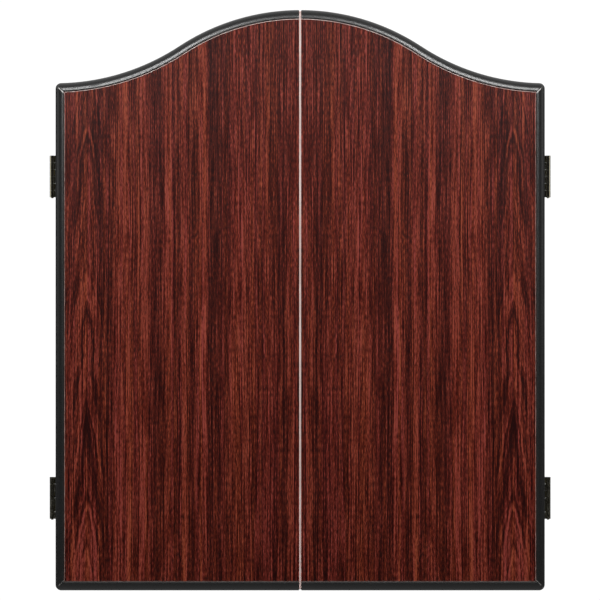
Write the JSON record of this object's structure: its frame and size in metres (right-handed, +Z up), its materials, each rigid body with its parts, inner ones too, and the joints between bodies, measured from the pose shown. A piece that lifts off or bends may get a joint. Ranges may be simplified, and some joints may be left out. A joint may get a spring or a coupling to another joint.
{
  "type": "dart board cabinet",
  "caption": "Wall-hung dart board cabinet with an arched top, hinged wood-grain doors in dark moulding, inner scoreboards and dart racks, and a bracket for a board.",
  "frame": {"origin": "on the wall plane, at the centre of the wall screw pattern, which is also the bull's-eye point of the board that hangs inside", "axes": "+Z up, the doors face -Y, +Y into the wall, +X to the right as seen from the front"},
  "size_m": [0.5282, 0.0896, 0.611],
  "materials": {
    "rosewood_print": "satin dark red wood-grain printed sheet",
    "fibreboard": "raw fibreboard",
    "black_backing": "matt black sheet",
    "white_band": "satin off-white edge band",
    "black_grained_moulding": "pebbled leather-grain black",
    "chalkboard": "matt chalkboard",
    "black_plastic": "moulded satin black",
    "brass": "brass plated",
    "zinc_steel": "zinc plated",
    "ferrite": "sintered ferrite",
    "rubber": "matt",
    "beech": "raw beech",
    "black_carcass": "black vinyl-wrapped board, leather grain"
  },
  "bodies": {
    "cabinet": {"arch_top_panel": "black_carcass", "back_panel": "black_carcass", "back_panel_screws": "zinc_steel", "board_bracket": "zinc_steel", "board_bracket_screws": "zinc_steel", "bottom_catch_housing": "black_plastic", "bottom_catch_screws": "zinc_steel", "bottom_panel": "black_carcass", "carcass_dowels": "beech", "catch_magnets": "ferrite", "catch_pole_plates": "zinc_steel", "door_bumpers": "rubber", "hinge_box_leaf_lower_left": "brass", "hinge_box_leaf_lower_right": "brass", "hinge_box_leaf_upper_left": "brass", "hinge_box_leaf_upper_right": "brass", "hinge_box_screws_left": "brass", "hinge_box_screws_right": "brass", "hinge_pin_lower_left": "brass", "hinge_pin_lower_right": "brass", "hinge_pin_upper_left": "brass", "hinge_pin_upper_right": "brass", "side_panel_left": "black_carcass", "side_panel_right": "black_carcass", "top_catch_housing": "black_plastic", "top_catch_screws": "zinc_steel"},
    "door_left": {"left_door_bottom_moulding": "black_grained_moulding", "left_door_core": "fibreboard", "left_door_dart_rack": "black_plastic", "left_door_edge_band": "white_band", "left_door_face_sheet": "rosewood_print", "left_door_hinge_leaf_lower": "brass", "left_door_hinge_leaf_upper": "brass", "left_door_hinge_screws": "brass", "left_door_inner_sheet": "black_backing", "left_door_rack_screws": "zinc_steel", "left_door_scoreboard": "chalkboard", "left_door_side_moulding": "black_grained_moulding", "left_door_strike_bottom": "zinc_steel", "left_door_strike_screws": "zinc_steel", "left_door_strike_top": "zinc_steel", "left_door_top_moulding": "black_grained_moulding"},
    "door_right": {"right_door_bottom_moulding": "black_grained_moulding", "right_door_core": "fibreboard", "right_door_dart_rack": "black_plastic", "right_door_edge_band": "white_band", "right_door_face_sheet": "rosewood_print", "right_door_hinge_leaf_lower": "brass", "right_door_hinge_leaf_upper": "brass", "right_door_hinge_screws": "brass", "right_door_inner_sheet": "black_backing", "right_door_rack_screws": "zinc_steel", "right_door_scoreboard": "chalkboard", "right_door_side_moulding": "black_grained_moulding", "right_door_strike_bottom": "zinc_steel", "right_door_strike_screws": "zinc_steel", "right_door_strike_top": "zinc_steel", "right_door_top_moulding": "black_grained_moulding"}
  },
  "joints": [
    {"name": "door_left_hinge", "type": "hinge", "parent": "cabinet", "child": "door_left", "pos_m": [-0.2614, -0.0723, 0], "axis": [0, 0, -1], "range_deg": [0, 180]},
    {"name": "door_right_hinge", "type": "hinge", "parent": "cabinet", "child": "door_right", "pos_m": [0.2614, -0.0723, 0], "axis": [0, 0, 1], "range_deg": [0, 180]}
  ]
}
